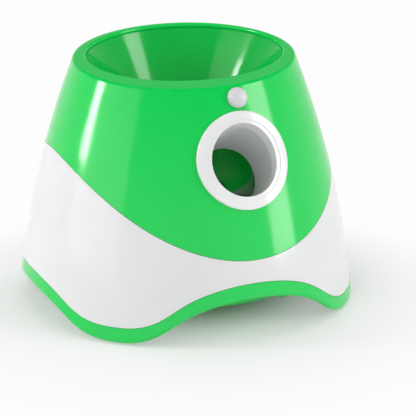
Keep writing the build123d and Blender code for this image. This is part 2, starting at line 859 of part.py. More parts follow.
def make_second_gear():
    """Compound gear whose pinion drives the winding wheel."""
    pinion = gear_blank(pinion_teeth, gear_face + layer_gap / 2,
                        gap_phase(direction(second_axle, winding_axle), pinion_teeth))
    piece = axle_frame(second_axle, left_layer) * pinion
    wheel = gear_blank(wheel_teeth, gear_face, direction(second_axle, first_axle))
    piece += axle_frame(second_axle, right_layer) * wheel
    piece += axle_frame(second_axle, left_layer + gear_face) * extrude(
        Circle(hub_radius), right_layer - left_layer - gear_face)
    return piece - shaft_hole(second_axle)


def make_first_gear():
    """Compound gear driven by the motor."""
    pinion = gear_blank(pinion_teeth, gear_face,
                        gap_phase(direction(first_axle, second_axle), pinion_teeth))
    piece = axle_frame(first_axle, right_layer) * pinion
    wheel = gear_blank(wheel_teeth, gear_face, direction(first_axle, motor_axle))
    piece += axle_frame(first_axle, middle_layer) * wheel
    piece += axle_frame(first_axle, left_layer) * extrude(
        Circle(hub_radius), inner_face + right_layer)
    return piece - shaft_hole(first_axle)


def make_motor_pinion():
    """Pinion pressed on the motor shaft."""
    pinion = gear_blank(motor_teeth, gear_face,
                        gap_phase(direction(motor_axle, first_axle), motor_teeth))
    piece = axle_frame(motor_axle, middle_layer) * pinion
    return piece - axle_frame(motor_axle, -far / 4) * extrude(Circle(motor_shaft_radius), far / 2)


def make_motor_shaft():
    """Steel shaft of the motor's rotor, where it stands out of the can."""
    start = middle_layer
    end = plate_gap + plate_thickness + motor_boss_height + motor_length / 3
    return axle_frame(motor_axle, start) * extrude(Circle(motor_shaft_radius), end - start)


def make_drive_motor():
    """Motor can with its front boss, held against the right gearbox plate."""
    start = plate_gap + plate_thickness
    can = axle_frame(motor_axle, start) * extrude(Circle(motor_radius), motor_length)
    can = chamfer(can.edges().group_by(Axis.X)[-1], motor_round)
    boss = axle_frame(motor_axle, start - motor_boss_height) * extrude(
        Circle(motor_boss_radius), motor_boss_height)
    bore = axle_frame(motor_axle, start - motor_boss_height) * extrude(
        Circle(motor_shaft_radius + shaft_clearance), motor_boss_height + motor_length / 2)
    cap = axle_frame(motor_axle, start + motor_length) * extrude(
        Circle(motor_radius / 3), motor_boss_height)
    return can + boss + cap - bore


def make_shaft(centre):
    """Fixed steel pin between the two gearbox plates."""
    reach = plate_gap + plate_thickness
    return axle_frame(centre, -reach) * extrude(Circle(shaft_radius), 2 * reach)


def front_spacer_y():
    """Middle of the plates' front legs, just behind the rod guide's start."""
    return launch_point(rod_guide_start).Y + seat_gap


def back_spacer_y():
    """Middle of the plates' back legs, under the motor."""
    return motor_axle.Y + motor_radius / 2


def plate_outline():
    """Side view of a gearbox plate: a body round the axles on two legs."""
    floor_height = pan_floor + pan_wall
    front_leg = front_spacer_y() - leg_width / 2
    back_leg = back_spacer_y() - leg_width / 2
    nose = barrel_length + 2 * barrel_end_thickness
    line = Polyline((front_leg, floor_height), (front_leg + leg_width, floor_height),
                    (front_leg + 2 * leg_width, leg_height), (back_leg - leg_width, leg_height),
                    (back_leg, floor_height), (back_leg + leg_width, floor_height),
                    (motor_axle.Y + motor_radius + spacer_radius, motor_axle.Z + plate_margin),
                    (first_axle.Y, first_axle.Z + 2 * plate_margin),
                    (winding_axle.Y + 2 * plate_margin, winding_axle.Z + plate_margin),
                    (winding_axle.Y - plate_margin, winding_axle.Z + plate_margin / 2),
                    (launch_point(nose, leg_width).Y, launch_point(nose, leg_width).Z),
                    (launch_point(nose, -leg_width).Y, launch_point(nose, -leg_width).Z),
                    (front_leg, floor_height))
    return make_face(line)


def make_gearbox_plate(side):
    """One side plate of the gearbox."""
    start = plate_gap if side > 0 else -plate_gap - plate_thickness
    face = Plane(origin=(start, 0, 0), x_dir=(0, 1, 0), z_dir=(1, 0, 0)) * plate_outline()
    plate = extrude(face, plate_thickness)
    for centre in (winding_axle, second_axle, first_axle):
        plate -= axle_frame(centre, -far / 4) * extrude(Circle(shaft_radius), far / 2)
    if side > 0:
        plate -= axle_frame(motor_axle, 0) * extrude(
            Circle(motor_boss_radius + pilot_clearance), far / 4)
    return plate


def spacer_spots():
    """Axes of the spacers that hold the gearbox plates apart."""
    low = pan_floor + pan_wall + 2 * spacer_radius
    return [Vector(0, front_spacer_y(), low), Vector(0, back_spacer_y(), low),
            Vector(0, motor_axle.Y + motor_radius - spacer_radius / 2, motor_axle.Z)]


def make_gearbox_spacers():
    """Turned spacers between the gearbox plates."""
    pieces = [axle_frame(spot, -plate_gap) * extrude(Circle(spacer_radius), 2 * plate_gap)
              for spot in spacer_spots()]
    return Compound(children=pieces)


def make_barrel_cradle():
    """Post on the base pan that carries the barrel near its lower end."""
    middle = launch_point(cradle_reach)
    foot = pan_floor + pan_wall
    height = middle.Z - foot
    post = Pos(0, middle.Y, foot + height / 2) * Box(cradle_width, cradle_depth, height)
    web = Pos(0, middle.Y, foot + cradle_web / 2) * Box(
        cradle_width + 4 * cradle_web, 2 * cradle_depth, cradle_web)
    return post + web - launch_rod(bore_radius + barrel_wall + seat_gap, 0, far)


# ---------------------------------------------------------------- batteries
bay_length = cells_per_row * (cell_length + cell_nub_height) + 2 * cell_clearance + contact_room
bay_width = cell_rows * (2 * cell_radius + cell_clearance) + cell_clearance
bay_height = 2 * cell_radius + 2 * cell_clearance
bay_floor = pan_floor + pan_wall
door_width = bay_width - 2 * door_ledge
door_length = bay_length - 2 * door_ledge


def battery_bay_walls():
    """Walls and roof of the battery bay, moulded with the base pan."""
    height = pan_wall + bay_height + bay_wall
    return Pos(bay_centre_x, 0, pan_floor + height / 2) * Box(
        bay_width + 2 * bay_wall, bay_length + 2 * bay_wall, height)


def battery_bay_space():
    """Room inside the battery bay, the door's place below it and the holes for its pins."""
    room = Pos(bay_centre_x, 0, bay_floor + bay_height / 2) * Box(bay_width, bay_length, bay_height)
    door = Pos(bay_centre_x, 0, pan_floor) * Box(
        door_width + 2 * door_clearance, door_length + 2 * door_clearance, 2 * pan_wall)
    pins = door_hinge_bar(door_pin_radius + shaft_clearance,
                          door_length + 2 * door_pin_length + 2 * door_clearance)
    return room + door + pins


def make_battery_cells():
    """Four C cells, lying in two rows."""
    cells = []
    for row in range(cell_rows):
        x = bay_centre_x + (row - (cell_rows - 1) / 2) * (2 * cell_radius + cell_clearance)
        for place in range(cells_per_row):
            pitch = cell_length + cell_nub_height
            y = -cells_per_row * pitch / 2 + place * pitch
            frame = Plane(origin=(x, y, bay_floor + bay_height / 2), x_dir=(1, 0, 0), z_dir=(0, 1, 0))
            can = extrude(Circle(cell_radius), cell_length)
            nub = Pos(0, 0, cell_length) * extrude(Circle(cell_nub_radius), cell_nub_height)
            cells.append(frame * (can + nub))
    return Compound(children=cells)


def make_battery_contacts():
    """Sprung contact plates at both ends of each row of cells."""
    plates = []
    for row in range(cell_rows):
        x = bay_centre_x + (row - (cell_rows - 1) / 2) * (2 * cell_radius + cell_clearance)
        for end in (-1, 1):
            y = end * (bay_length / 2 - contact_thickness / 2)
            plates.append(Pos(x, y, bay_floor + bay_height / 2) * Box(
                contact_width, contact_thickness, contact_width))
    return Compound(children=plates)


def door_hinge_bar(radius, length):
    """A round bar along the hinge line of the battery door."""
    x = bay_centre_x + door_width / 2 - pan_wall / 2
    frame = Plane(origin=(x, -length / 2, pan_floor + pan_wall / 2), x_dir=(1, 0, 0),
                  z_dir=(0, 1, 0))
    return frame * extrude(Circle(radius), length)


def make_battery_door():
    """Battery cover that swings down on two pins at its inner, rounded edge."""
    width = door_width - pan_wall / 2
    left = bay_centre_x - door_width / 2
    plate = Pos(left + width / 2, 0, pan_floor + pan_wall / 2) * Box(width, door_length, pan_wall)
    plate += door_hinge_bar(pan_wall / 2, door_length)
    plate += door_hinge_bar(door_pin_radius, door_length + 2 * door_pin_length)
    for line in range(4):
        x = left + (2 * line + 5) * door_grip_width
        plate -= Pos(x, 0, pan_floor) * Box(door_grip_width, door_length / 4, 2 * door_grip_depth)
    return plate


# ---------------------------------------------------------------- rear controls
def panel_prism(grow):
    """A bar of the control panel's outline, through the back wall."""
    outline = SlotOverall(2 * (panel_half_width + grow), 2 * (panel_half_height + grow))
    frame = Plane(origin=(0, radius_at(panel_height) - far / 8, panel_height), x_dir=(-1, 0, 0),
                  z_dir=(0, 1, 0))
    return frame * extrude(outline, far / 4)


def back_bar(x, z, radius, start, end):
    """A round bar along Y at the back, between two distances from the axis."""
    frame = Plane(origin=(x, start, z), x_dir=(1, 0, 0), z_dir=(0, 1, 0))
    return frame * extrude(Circle(radius), end - start)


def make_control_panel():
    """Grey panel let into the back, with holes for buttons, lamps and the power inlet."""
    piece = panel_prism(0) & shell(panel_recess, panel_recess + panel_thickness)
    back = radius_at(panel_height)
    for x in (power_button_x, distance_button_x):
        piece -= back_bar(x, panel_height, button_radius + button_clearance, back / 2, 2 * back)
    for spot in lamp_spots():
        piece -= back_bar(spot[0], spot[1], lamp_radius + pilot_clearance, back / 2, 2 * back)
    return piece - back_bar(jack_x, panel_height, jack_radius + pilot_clearance, back / 2, 2 * back)


def lamp_spots():
    """Centres of the three lamps, one above the other."""
    return [(lamp_x, panel_height + lens_pitch * step) for step in (-1, 0, 1)]


def make_indicator_lamps():
    """Three clear lamp lenses for the launch distance."""
    back = radius_at(panel_height)
    lamps = []
    for spot in lamp_spots():
        lamp = back_bar(spot[0], spot[1], lamp_radius, back / 2, 2 * back)
        lamps.append(lamp & shell(panel_recess - lamp_proud, panel_recess + panel_thickness + lamp_radius))
    return Compound(children=lamps)


def make_button(x):
    """A push button whose face follows the round of the body, with a flange behind the panel."""
    back = radius_at(panel_height)
    behind = panel_recess + panel_thickness + seat_gap
    flange = back_bar(x, panel_height, button_radius + button_flange, back / 2, 2 * back)
    flange &= shell(behind, behind + button_flange)
    cap = back_bar(x, panel_height, button_radius, back / 2, 2 * back)
    cap &= shell(panel_recess - button_proud, behind + button_flange)
    stem_end = control_board_y() + board_thickness + button_travel + seat_gap
    stem = back_bar(x, panel_height, button_radius / 3, stem_end, back)
    return cap + flange + (stem & body(panel_recess))


def control_board_y():
    """Front face of the board behind the panel, by distance from the axis."""
    return radius_at(panel_height) - wall - button_stem_length - board_thickness - board_setback


def make_control_board():
    """Board behind the panel that the buttons press on."""
    return Pos(0, control_board_y() + board_thickness / 2, panel_height) * Box(
        2 * panel_half_width - board_edge, board_thickness, 2 * panel_half_height - board_edge)


def make_power_inlet():
    """Round power inlet with its centre pin."""
    back = radius_at(panel_height)
    face = sqrt(back**2 - jack_x**2) - panel_recess
    body_bar = back_bar(jack_x, panel_height, jack_radius, face - jack_length, face)
    bore = back_bar(jack_x, panel_height, jack_bore_radius, face - jack_length + jack_floor, back)
    pin = back_bar(jack_x, panel_height, jack_pin_radius, face - jack_length, face - jack_floor)
    return body_bar - bore + pin


# ---------------------------------------------------------------- boards
def standoff_spots():
    """Where the main board stands on the base pan."""
    spots = []
    for across in (-1, 1):
        for along in (-1, 1):
            spots.append(Vector(main_board_x + across * (main_board_width / 2 - board_edge),
                                main_board_y + along * (main_board_length / 2 - board_edge)))
    return spots


def board_height():
    """Underside of the main board."""
    return pan_floor + pan_wall + standoff_height


def make_main_board():
    """Main board on four standoffs."""
    return Pos(main_board_x, main_board_y, board_height() + board_thickness / 2) * Box(
        main_board_width, main_board_length, board_thickness)


def make_board_parts():
    """The larger components of the main board: controller, driver and two capacitors."""
    top = board_height() + board_thickness
    parts = [Pos(main_board_x - chip_size, main_board_y + chip_size, top + chip_height / 2) * Box(
        chip_size, chip_size, chip_height)]
    parts.append(Pos(main_board_x + chip_size, main_board_y - chip_size, top + driver_height / 2)
                 * Box(driver_width, driver_length, driver_height))
    for place in (1, 2.5):
        parts.append(Pos(main_board_x - chip_size, main_board_y - place * chip_size, top)
                     * extrude(Circle(capacitor_radius), capacitor_height))
    return Compound(children=parts)


def make_buzzer():
    """Buzzer that warns before each launch."""
    top = board_height() + board_thickness
    place = Pos(main_board_x + chip_size, main_board_y + 2 * buzzer_radius, top)
    can = place * extrude(Circle(buzzer_radius), buzzer_height)
    vent = Pos(0, 0, buzzer_height - buzzer_vent) * extrude(Circle(buzzer_vent), buzzer_vent)
    return can - place * vent


parts = {
    "top_shell": make_top_shell,
    "hopper_bowl": make_hopper_bowl,
    "lower_shell": make_lower_shell,
    "base_band": make_base_band,
    "foot_pads": make_foot_pads,
    "base_pan": make_base_pan,
    "case_screws": make_case_screws,
    "exit_bezel": make_exit_bezel,
    "launch_barrel": make_launch_barrel,
    "barrel_screws": make_barrel_screws,
    "barrel_cradle": make_barrel_cradle,
    "feed_chute": make_feed_chute,
    "ball_guide": make_ball_guide,
    "sensor_lens": make_sensor_lens,
    "sensor_board": make_sensor_board,
    "sensor_can": make_sensor_can,
    "plunger_head": make_plunger_head,
    "plunger_rod": make_plunger_rod,
    "rod_guide": make_rod_guide,
    "launch_spring": make_launch_spring,
    "winding_gear": make_winding_gear,
    "second_gear": make_second_gear,
    "first_gear": make_first_gear,
    "motor_pinion": make_motor_pinion,
    "motor_shaft": make_motor_shaft,
    "drive_motor": make_drive_motor,
    "winding_shaft": lambda: make_shaft(winding_axle),
    "second_shaft": lambda: make_shaft(second_axle),
    "first_shaft": lambda: make_shaft(first_axle),
    "gearbox_left_plate": lambda: make_gearbox_plate(-1),
    "gearbox_right_plate": lambda: make_gearbox_plate(1),
    "gearbox_spacers": make_gearbox_spacers,
    "battery_cells": make_battery_cells,
    "battery_contacts": make_battery_contacts,
    "battery_door": make_battery_door,
    "control_panel": make_control_panel,
    "indicator_lamps": make_indicator_lamps,
    "power_button": lambda: make_button(power_button_x),
    "distance_button": lambda: make_button(distance_button_x),
    "control_board": make_control_board,
    "power_inlet": make_power_inlet,
    "main_board": make_main_board,
    "board_parts": make_board_parts,
    "warning_buzzer": make_buzzer,
}

os.makedirs("parts", exist_ok=True)
for name, make in parts.items():
    export_step(make(), f"parts/{name}.step")
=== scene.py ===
import bmesh
import bpy
from math import cos, pi, radians, sin
from mathutils import Matrix, Vector


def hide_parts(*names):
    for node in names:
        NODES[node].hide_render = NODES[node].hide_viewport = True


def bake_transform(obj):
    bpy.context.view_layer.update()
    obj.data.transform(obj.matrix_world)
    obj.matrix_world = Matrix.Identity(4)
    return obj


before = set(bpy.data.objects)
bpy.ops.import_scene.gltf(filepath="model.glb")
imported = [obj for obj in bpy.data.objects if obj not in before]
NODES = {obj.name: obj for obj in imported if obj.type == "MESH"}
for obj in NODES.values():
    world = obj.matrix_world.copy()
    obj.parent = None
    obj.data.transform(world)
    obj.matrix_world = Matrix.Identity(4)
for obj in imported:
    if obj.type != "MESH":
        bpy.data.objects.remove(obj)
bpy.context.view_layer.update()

bl_info = {
    "name": "Ball launcher finish",
    "version": (1, 0, 0),
    "blender": (4, 5, 0),
    "location": "View3D > Sidebar > Launcher",
    "description": "Finishes, main spring and studio for an automatic ball launcher",
    "category": "Object",
}

MM = 0.001

# The launch line in the frame: the ball leaves against this direction.
LAUNCH_ANGLE = radians(33.0)
LAUNCH_IN = Vector((0.0, cos(LAUNCH_ANGLE), -sin(LAUNCH_ANGLE)))
EXIT_POINT = Vector((0.0, -0.116556, 0.1352))

# How finely the coil of the main spring is divided.
STEPS_PER_TURN = 40
WIRE_SEGMENTS = 14

# Refractive indexes of the plastics.
ABS_IOR = 1.54
POLYETHYLENE_IOR = 1.54
POLYCARBONATE_IOR = 1.58
ACETAL_IOR = 1.48

# The range that a noise texture mostly stays in.
NOISE_LOW = 0.3
NOISE_HIGH = 0.7

# Materials that more than one step uses.
ACETAL_NAME = "Natural moulded acetal"
BOARD_NAME = "Solder mask on glass epoxy"
GREY_NAME = "Satin moulded ABS, grey"

# The floor, in metres. The paper's white glow comes up from the inner distance outwards: first
# to the painted lift of light in its real shadow, then from the shadow's edge to clear paper.
FLOOR_REACH = 30.0
FLOOR_SEGMENTS = 8
SHADOW_CORE = 0.05
SHADOW_EDGE = 0.13
PAPER_CLEAR = 0.28

# Upward part of a direction at which the pale walls end and the dark ceiling is whole.
WALL_TOP = 0.05
CEILING_WHOLE = 0.7

# The camera, and the point that the lights look at. The bearing is the camera's, in round degrees
# from straight in front of the exit, and the lights are placed from it.
CAMERA_PLACE = Vector((-0.3154, -0.7564, 0.2852))
CAMERA_FORWARD = Vector((0.3934, 0.8837, -0.2534))
CAMERA_BEARING = -24.0
SENSOR_WIDTH = 36.0
CLIP_START = 0.05
CLIP_END = 20.0
LIT_POINT = Vector((0.0, 0.0, 0.12))


def to_linear(code):
    """An sRGB hex colour as linear red, green and blue."""
    values = [int(code[i:i + 2], 16) / 255 for i in (1, 3, 5)]
    return tuple(v / 12.92 if v <= 0.04045 else ((v + 0.055) / 1.055) ** 2.4 for v in values)


# ------------------------------------------------------------------ properties
def colour_setting(name, description, code):
    """A colour that can be set, from an sRGB hex code."""
    return bpy.props.FloatVectorProperty(
        name=name, description=description, subtype="COLOR", size=3, min=0.0, max=1.0,
        default=to_linear(code))


def number_setting(name, description, default, unit="NONE"):
    """A number that can be set."""
    return bpy.props.FloatProperty(
        name=name, description=description, unit=unit, default=default)


class LauncherColours(bpy.types.PropertyGroup):
    """Colours of the moulded pieces. The hopper, striker, chute and tube colours are darker copies
    that carry painted shade.
    """
    body_green: colour_setting(
        "Body green", "Upper shell, foot band, base pan and battery cover", "#00D455")
    shell_white: colour_setting("Shell white", "Lower shell", "#E7E7E8")
    # Painted shade: the hopper is the body's green, darkened for the shade inside the funnel.
    hopper_shaded_green: colour_setting("Hopper green", "Hopper funnel, body green darkened as painted shade", "#00BE4A")
    # Painted shade: the striker is the body's green, darkened for the shadow deep in the launch
    # tube.
    striker_shaded_green: colour_setting(
        "Striker green", "Striker at the foot of the launch tube", "#008A2E")
    # Painted shade: the chute is the body's green, darkened for the shade it lies in beyond the
    # tube.
    chute_shaded_green: colour_setting("Chute green", "Feed chute beside the launch tube", "#00A83C")
    ring_white: colour_setting("Ring white", "Exit ring", "#F1F1F1")
    # Painted shade: the tube is white plastic, greyed for the shade inside its bore.
    tube_shaded_white: colour_setting("Tube white", "Launch tube", "#D9DBDA")
    lens_white: colour_setting("Lens white", "Dome of the motion sensor", "#DCDDDF")
    panel_grey: colour_setting(
        "Panel grey", "Control panel at the back, and cradle of the launch tube", "#5A5E61")
    button_grey: colour_setting("Button grey", "Two push buttons", "#DADCDD")


class LauncherSizes(bpy.types.PropertyGroup):
    """Sizes of the main spring, which is modelled here."""
    spring_radius: number_setting(
        "Spring radius", "Mean radius of the main spring's coil", 0.0115, unit="LENGTH")
    spring_wire: number_setting(
        "Spring wire", "Radius of the main spring's wire", 0.0009, unit="LENGTH")
    spring_turns: number_setting("Spring turns", "Working turns of the main spring", 5.0)
    spring_start: number_setting(
        "Spring start", "Station of its moving end, inwards from the exit", 0.0884,
        unit="LENGTH")
    spring_end: number_setting(
        "Spring end", "Station of its fixed end, inwards from the exit", 0.1008,
        unit="LENGTH")


class LauncherStudio(bpy.types.PropertyGroup):
    """Camera and lights."""
    lens: number_setting("Lens", "Focal length on a 36 mm sensor", 84.7, unit="CAMERA")
    horizon_level: number_setting("Wall level", "Level of the pale walls around", 0.9)
    ceiling_level: number_setting("Ceiling level", "Level of the dark ceiling", 0.04)
    left_level: number_setting(
        "Left softbox", "Power of the large softbox at the left", 4.6, unit="POWER")
    strip_level: number_setting(
        "Left strip", "Power of the narrow strip at the left", 5.0, unit="POWER")
    right_level: number_setting(
        "Right softbox", "Power of the narrow softbox at the right", 8.0, unit="POWER")
    top_level: number_setting("Top fill", "Power of the fill overhead", 24.0, unit="POWER")
    front_level: number_setting(
        "Front fill", "Power of the fill beside the camera", 4.0, unit="POWER")
    # The lift is painted light: the paper's white glow lightens its real shadow.
    shadow_lift: bpy.props.FloatProperty(
        name="Shadow lift", description="Share of the white glow painted into the paper's shadows",
        subtype="FACTOR", min=0.0, max=1.0, default=0.4)


# ------------------------------------------------------------------ materials
def add(tree, kind, inputs=None, **settings):
    """Adds a node, sets it up and links it."""
    made = tree.nodes.new(kind)
    for name, value in settings.items():
        setattr(made, name, value)
    for name, value in (inputs or {}).items():
        socket = made.inputs[name]
        if isinstance(value, bpy.types.NodeSocket):
            tree.links.new(value, socket)
        else:
            socket.default_value = value
    return made


def new_material(name):
    """An empty node material: its tree, its shader and its object coordinates."""
    material = bpy.data.materials.new(name)
    material.use_nodes = True
    tree = material.node_tree
    tree.nodes.clear()
    place = add(tree, "ShaderNodeTexCoord").outputs["Object"]
    shader = add(tree, "ShaderNodeBsdfPrincipled")
    add(tree, "ShaderNodeOutputMaterial", {"Surface": shader.outputs["BSDF"]})
    return material, tree, shader, place


def rgba(colour, factor=1.0):
    """A colour for a node socket, made lighter or darker by a factor."""
    return (*[min(1.0, channel * factor) for channel in colour], 1.0)


def per_mm(size):
    """Texture scale that repeats once in this many millimetres."""
    return 1.0 / (size * MM)


def tint(tree, shader, place, colour, patch, drift):
    """Colours the shader, a share lighter and darker over patches of a size in mm."""
    cloud = add(tree, "ShaderNodeTexNoise", {
        "Vector": place, "Scale": per_mm(patch), "Detail": 2.0})
    ramp = add(tree, "ShaderNodeValToRGB", {"Fac": cloud.outputs["Fac"]})
    dark, light = ramp.color_ramp.elements
    dark.position, light.position = NOISE_LOW, NOISE_HIGH
    dark.color = rgba(colour, 1.0 - drift)
    light.color = rgba(colour, 1.0 + drift)
    tree.links.new(ramp.outputs["Color"], shader.inputs["Base Color"])


def skin(tree, shader, place, grain, rough, relief):
    """Grain of a size in mm: roughness between two values, and a bump of a height in mm."""
    noise = add(tree, "ShaderNodeTexNoise", {
        "Vector": place, "Scale": per_mm(grain), "Detail": 3.0})
    low, high = rough
    level = add(tree, "ShaderNodeMapRange", {
        "Value": noise.outputs["Fac"], "From Min": NOISE_LOW, "From Max": NOISE_HIGH,
        "To Min": low, "To Max": high})
    bump = add(tree, "ShaderNodeBump", {
        "Height": noise.outputs["Fac"], "Distance": relief * MM, "Strength": 1.0})
    tree.links.new(level.outputs["Result"], shader.inputs["Roughness"])
    tree.links.new(bump.outputs["Normal"], shader.inputs["Normal"])


def moulded_abs(name, colour):
    """Glossy moulded ABS: deep even colour under a polished skin that waves very slightly."""
    material, tree, shader, place = new_material(name)
    tint(tree, shader, place, colour, patch=60.0, drift=0.02)
    skin(tree, shader, place, grain=26.0, rough=(0.10, 0.15), relief=0.02)
    shader.inputs["IOR"].default_value = ABS_IOR
    return material


def satin_abs(name, colour):
    """Satin moulded ABS: the fine spark-eroded grain of a hidden moulding breaks the shine."""
    material, tree, shader, place = new_material(name)
    tint(tree, shader, place, colour, patch=30.0, drift=0.03)
    skin(tree, shader, place, grain=0.9, rough=(0.38, 0.5), relief=0.03)
    shader.inputs["IOR"].default_value = ABS_IOR
    return material


def milky_polyethylene(name, colour):
    """Moulded HDPE lens: light sinks in, so that its edges glow and its shine is soft."""
    material, tree, shader, place = new_material(name)
    tint(tree, shader, place, colour, patch=5.0, drift=0.015)
    skin(tree, shader, place, grain=1.2, rough=(0.16, 0.24), relief=0.01)
    shader.inputs["IOR"].default_value = POLYETHYLENE_IOR
    shader.inputs["Subsurface Weight"].default_value = 0.5
    shader.inputs["Subsurface Radius"].default_value = (1.0, 1.0, 1.0)
    shader.inputs["Subsurface Scale"].default_value = 1.5 * MM
    return material


def clear_polycarbonate(name, colour):
    """Clear moulded polycarbonate: a thin strip that greys what lies behind it."""
    material, tree, shader, place = new_material(name)
    tint(tree, shader, place, colour, patch=12.0, drift=0.03)
    skin(tree, shader, place, grain=8.0, rough=(0.08, 0.16), relief=0.01)
    shader.inputs["IOR"].default_value = POLYCARBONATE_IOR
    shader.inputs["Transmission Weight"].default_value = 0.45
    return material


def acetal(name, colour):
    """Natural acetal: waxy and faintly see-through, with the dull skin of a small moulding."""
    material, tree, shader, place = new_material(name)
    tint(tree, shader, place, colour, patch=9.0, drift=0.03)
    skin(tree, shader, place, grain=1.5, rough=(0.32, 0.42), relief=0.01)
    shader.inputs["IOR"].default_value = ACETAL_IOR
    shader.inputs["Subsurface Weight"].default_value = 0.2
    shader.inputs["Subsurface Scale"].default_value = 1.0 * MM
    return material


def metal(name, colour, grain, rough, relief, stretch=(1.0, 1.0, 1.0)):
    """Bare or plated metal, its drawn or turned marks stretched along one way."""
    material, tree, shader, place = new_material(name)
    turned = add(tree, "ShaderNodeMapping", {"Vector": place, "Scale": stretch})
    tint(tree, shader, place, colour, patch=6.0, drift=0.05)
    skin(tree, shader, turned.outputs["Vector"], grain, rough, relief)
    shader.inputs["Metallic"].default_value = 1.0
    return material


def nickel(name):
    """Bright nickel plating on a thin pressed piece."""
    return metal(name, to_linear("#C9C6BE"), grain=0.8, rough=(0.2, 0.3), relief=0.005)


def moulded_rubber(name, colour):
    """Moulded EPDM rubber: dull and dusty, with a fine pitted skin."""
    material, tree, shader, place = new_material(name)
    tint(tree, shader, place, colour, patch=4.0, drift=0.15)
    skin(tree, shader, place, grain=0.7, rough=(0.7, 0.85), relief=0.05)
    return material


def solder_mask(name, colour):
    """Glass-epoxy board: its tracks stand out a shade lighter under the green lacquer."""
    material, tree, shader, place = new_material(name)
    tracks = add(tree, "ShaderNodeTexBrick", {
        "Vector": place, "Scale": per_mm(9.0), "Mortar Size": 0.04, "Color1": rgba(colour),
        "Color2": rgba(colour, 0.85), "Mortar": rgba(colour, 1.7)})
    tree.links.new(tracks.outputs["Color"], shader.inputs["Base Color"])
    skin(tree, shader, place, grain=2.0, rough=(0.22, 0.32), relief=0.02)
    return material


def finish(material, *names):
    """Gives CAD nodes or new pieces this material."""
    for name in names:
        piece = NODES[name] if isinstance(name, str) else name
        piece.data.materials.clear()
        piece.data.materials.append(material)
        for face in piece.data.polygons:
            face.material_index = 0


# ------------------------------------------------------------------ new pieces
def link_new(name, data):
    """A new object of this data in the scene."""
    made = bpy.data.objects.new(name, data)
    bpy.context.scene.collection.objects.link(made)
    return made


def piece_from(shape, name, material):
    """A finished piece from a bmesh, with its material."""
    mesh = bpy.data.meshes.new(name)
    bmesh.ops.recalc_face_normals(shape, faces=shape.faces[:])
    shape.to_mesh(mesh)
    shape.free()
    for face in mesh.polygons:
        face.use_smooth = True
    piece = link_new(name, mesh)
    finish(material, piece)
    return piece


def coil(sizes):
    """The wound main spring, laid along the launch line from its moving end inwards."""
    steps = round(sizes.spring_turns * STEPS_PER_TURN)
    travel = sizes.spring_end - sizes.spring_start
    upright = Matrix.Rotation(pi / 2, 4, "X")
    shape = bmesh.new()
    bmesh.ops.create_circle(
        shape, segments=WIRE_SEGMENTS, radius=sizes.spring_wire,
        matrix=Matrix.Translation((sizes.spring_radius, 0.0, 0.0)) @ upright)
    bmesh.ops.spin(
        shape, geom=shape.verts[:] + shape.edges[:], axis=(0.0, 0.0, 1.0),
        dvec=(0.0, 0.0, travel / steps), angle=2 * pi * sizes.spring_turns,
        steps=steps, use_merge=False)
    bmesh.ops.holes_fill(shape, edges=[edge for edge in shape.edges if edge.is_boundary])
    across = Vector((1.0, 0.0, 0.0))
    turn = Matrix((across, LAUNCH_IN.cross(across), LAUNCH_IN)).transposed().to_4x4()
    place = Matrix.Translation(EXIT_POINT + LAUNCH_IN * sizes.spring_start)
    bmesh.ops.transform(shape, matrix=place @ turn, verts=shape.verts[:])
    return shape


# ------------------------------------------------------------------ studio
def aim(thing, place, target):
    """Puts a camera or a lamp at a place, looking at a target."""
    thing.location = place
    thing.rotation_euler = (target - place).to_track_quat("-Z", "Y").to_euler()


def softbox(name, bearing, height, distance, size, power, mirrored=True):
    """A rectangular softbox; its bearing is counted from the camera, to the right, in degrees.
    A fill is not mirrored: it lights, but gloss does not show it."""
    lamp = bpy.data.lights.new(name, "AREA")
    lamp.shape = "RECTANGLE"
    lamp.size, lamp.size_y = size
    lamp.energy = power
    holder = link_new(name, lamp)
    turn = radians(bearing + CAMERA_BEARING)
    aim(holder, Vector((distance * sin(turn), -distance * cos(turn), height)), LIT_POINT)
    holder.visible_glossy = mirrored


def seen(tree):
    """1 on rays from the camera, off gloss and through glass, and 0 on all others."""
    path = add(tree, "ShaderNodeLightPath").outputs
    direct = add(tree, "ShaderNodeMath", {0: path["Is Camera Ray"], 1: path["Is Glossy Ray"]},
                 operation="MAXIMUM")
    return add(tree, "ShaderNodeMath", {0: direct.outputs[0], 1: path["Is Transmission Ray"]},
               operation="MAXIMUM").outputs[0]


def smooth_range(tree, value, start, end, low, high):
    """Goes smoothly from low to high as the value goes from start to end."""
    return add(tree, "ShaderNodeMapRange", {
        "Value": value, "From Min": start, "From Max": end, "To Min": low, "To Max": high},
        interpolation_type="SMOOTHSTEP").outputs["Result"]


def paper_sweep(name, lift):
    """Matt paper that glows white away from the object, and lifts its real shadow with painted
    light from that glow.
    """
    material, tree, shader, place = new_material(name)
    tint(tree, shader, place, to_linear("#F4F4F4"), patch=400.0, drift=0.004)
    shader.inputs["Roughness"].default_value = 0.95
    shader.inputs["Specular IOR Level"].default_value = 0.0
    # Painted light: the glow is faded in by distance from the object, so that it lifts the real
    # shadow near it.
    glow = add(tree, "ShaderNodeEmission", {"Color": rgba(to_linear("#FDFDFD"))})
    away = add(tree, "ShaderNodeVectorMath", {0: place}, operation="LENGTH").outputs["Value"]
    under = smooth_range(tree, away, SHADOW_CORE, SHADOW_EDGE, 0.0, lift)
    around = smooth_range(tree, away, SHADOW_EDGE, PAPER_CLEAR, 0.0, 1.0 - lift)
    share = add(tree, "ShaderNodeMath", {0: under, 1: around}, operation="ADD")
    white = add(tree, "ShaderNodeMath", {0: share.outputs[0], 1: seen(tree)},
                operation="MULTIPLY")
    paper = add(tree, "ShaderNodeMixShader", {
        "Fac": white.outputs[0], 1: shader.outputs["BSDF"], 2: glow.outputs["Emission"]})
    tree.links.new(paper.outputs["Shader"], tree.nodes["Material Output"].inputs["Surface"])
    return material


